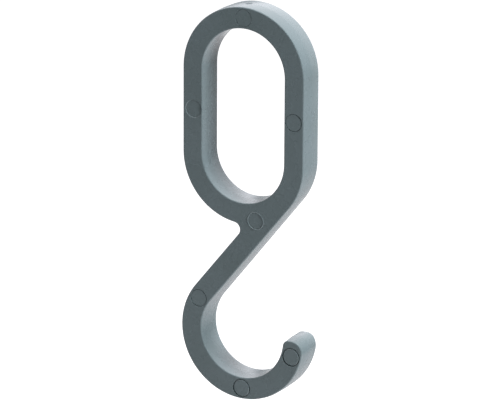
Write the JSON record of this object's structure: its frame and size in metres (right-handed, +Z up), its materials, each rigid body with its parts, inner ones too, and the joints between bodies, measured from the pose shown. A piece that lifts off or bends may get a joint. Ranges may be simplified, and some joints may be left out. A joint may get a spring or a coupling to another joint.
{
  "type": "closet rod hook",
  "caption": "Moulded plastic hook that slides along an oval wardrobe tube: a closed oval eye, a slanted shank and an open hook for a hanger.",
  "frame": {"origin": "middle of the eye, at mid-depth, on the axis of the tube that it slides on", "axes": "+Z up, +Y along the tube, away from the face with the pin marks; the hook opens towards +X"},
  "size_m": [0.0234, 0.0054, 0.0699],
  "materials": {
    "plastic": "semi-gloss grey, moulded"
  },
  "bodies": {
    "root": {"hook": "plastic"}
  },
  "joints": []
}
